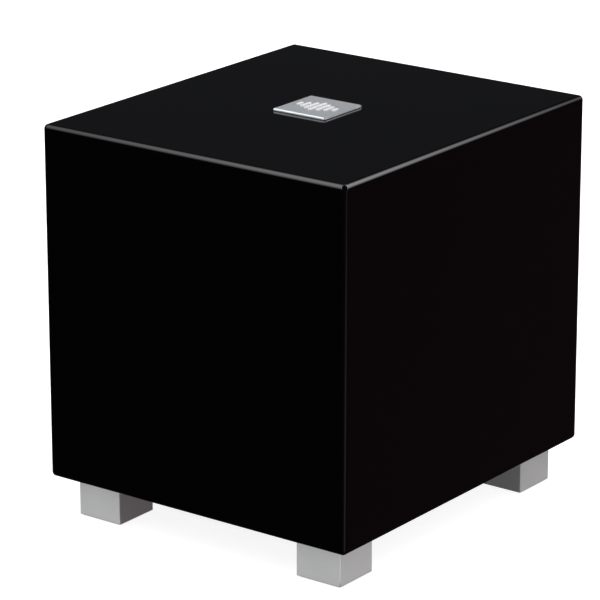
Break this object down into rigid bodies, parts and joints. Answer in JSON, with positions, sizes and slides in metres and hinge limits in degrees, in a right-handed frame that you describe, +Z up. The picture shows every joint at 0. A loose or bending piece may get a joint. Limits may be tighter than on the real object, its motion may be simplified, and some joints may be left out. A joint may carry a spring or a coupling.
{
  "type": "powered subwoofer",
  "caption": "Compact gloss-black cube subwoofer on square metal feet, with a down-firing driver in its floor and a plate amplifier in its back.",
  "frame": {"origin": "on the floor, under the middle of the overall bounding box", "axes": "+X to the right and -Y towards the front as seen from the front, +Z up"},
  "size_m": [0.267, 0.311, 0.3024],
  "materials": {
    "black_lacquer": "gloss",
    "black_board": "satin",
    "raw_board": "matte",
    "wadding": "matte",
    "badge_adhesive": "matte",
    "badge_metal": "satin",
    "badge_emblem": "polished",
    "foot_metal": "satin",
    "black_rubber": "matte",
    "gasket_foam": "matte",
    "zinc_steel": "satin",
    "black_steel": "satin",
    "brass": "satin",
    "basket_steel": "satin",
    "cone_paper": "matte",
    "dust_cap": "satin",
    "former_foil": "satin",
    "copper_wire": "satin",
    "spider_cloth": "matte",
    "plated_iron": "satin",
    "ferrite": "matte",
    "terminal_board": "matte",
    "amp_panel": "satin",
    "heat_sink": "matte",
    "knob_plastic": "satin",
    "socket_plastic": "satin",
    "rocker_plastic": "gloss",
    "phono_plastic": "satin",
    "gold_plate": "polished",
    "led_lens": "gloss",
    "fuse_glass": "gloss",
    "circuit_board": "satin",
    "winding_tape": "satin",
    "component_case": "satin",
    "transistor_case": "matte",
    "wire_jacket": "satin"
  },
  "bodies": {
    "cabinet": {"cabinet_shell": "black_lacquer", "base_panel": "black_board", "cabinet_brace": "raw_board", "wadding": "wadding", "badge_pad": "badge_adhesive", "badge_plate": "badge_metal", "badge_emblem": "badge_emblem", "foot_front_left": "foot_metal", "foot_front_right": "foot_metal", "foot_rear_left": "foot_metal", "foot_rear_right": "foot_metal", "foot_pads": "black_rubber", "foot_bolts": "zinc_steel", "foot_inserts": "brass", "driver_basket": "basket_steel", "driver_gasket": "gasket_foam", "driver_screws": "black_steel", "driver_trim_ring": "black_rubber", "driver_surround": "black_rubber", "driver_spider": "spider_cloth", "magnet_top_plate": "plated_iron", "magnet": "ferrite", "pole_piece": "plated_iron", "driver_terminals": "terminal_board", "tinsel_leads": "copper_wire", "amp_panel": "amp_panel", "panel_gasket": "gasket_foam", "panel_screws": "black_steel", "heat_sink": "heat_sink", "potentiometers": "zinc_steel", "control_nuts": "zinc_steel", "phase_switch_body": "zinc_steel", "power_switch_frame": "socket_plastic", "mains_inlet": "socket_plastic", "mains_terminals": "brass", "phono_sockets": "gold_plate", "phono_insulators": "phono_plastic", "speaker_socket": "socket_plastic", "status_led": "led_lens", "main_board": "circuit_board", "preamp_board": "circuit_board", "transformer": "winding_tape", "board_components": "component_case", "power_transistors": "transistor_case", "amp_fasteners": "zinc_steel", "wiring_loom": "wire_jacket"},
    "cone": {"driver_cone": "cone_paper", "dust_cap": "dust_cap", "coil_former": "former_foil", "voice_coil": "copper_wire"},
    "high_level_control": {"high_level_knob": "knob_plastic", "high_level_shaft": "zinc_steel"},
    "low_level_control": {"low_level_knob": "knob_plastic", "low_level_shaft": "zinc_steel"},
    "crossover_control": {"crossover_knob": "knob_plastic", "crossover_shaft": "zinc_steel"},
    "phase_lever": {"phase_lever": "zinc_steel"},
    "power_rocker": {"power_rocker": "rocker_plastic"},
    "fuse_drawer": {"fuse_drawer": "socket_plastic", "fuse": "fuse_glass"}
  },
  "joints": [
    {"name": "cone_travel", "type": "slide", "parent": "cabinet", "child": "cone", "axis": [0, 0, 1], "range_m": [-0.01, 0.01], "stiffness_N_per_m": 2000, "deforming": ["driver_surround", "driver_spider", "tinsel_leads"]},
    {"name": "high_level_turn", "type": "hinge", "parent": "cabinet", "child": "high_level_control", "pos_m": [0.062, 0.15, 0.25], "axis": [0, 1, 0], "range_deg": [-150, 150]},
    {"name": "low_level_turn", "type": "hinge", "parent": "cabinet", "child": "low_level_control", "pos_m": [0.024, 0.15, 0.25], "axis": [0, 1, 0], "range_deg": [-150, 150]},
    {"name": "crossover_turn", "type": "hinge", "parent": "cabinet", "child": "crossover_control", "pos_m": [-0.014, 0.15, 0.25], "axis": [0, 1, 0], "range_deg": [-150, 150]},
    {"name": "phase_toggle", "type": "hinge", "parent": "cabinet", "child": "phase_lever", "pos_m": [-0.05, 0.142, 0.25], "axis": [1, 0, 0], "range_deg": [-24, 0]},
    {"name": "power_toggle", "type": "hinge", "parent": "cabinet", "child": "power_rocker", "pos_m": [-0.04, 0.1425, 0.086], "axis": [1, 0, 0], "range_deg": [-14, 0]},
    {"name": "fuse_drawer_slide", "type": "slide", "parent": "cabinet", "child": "fuse_drawer", "axis": [0, 1, 0], "range_m": [0, 0.016]}
  ]
}
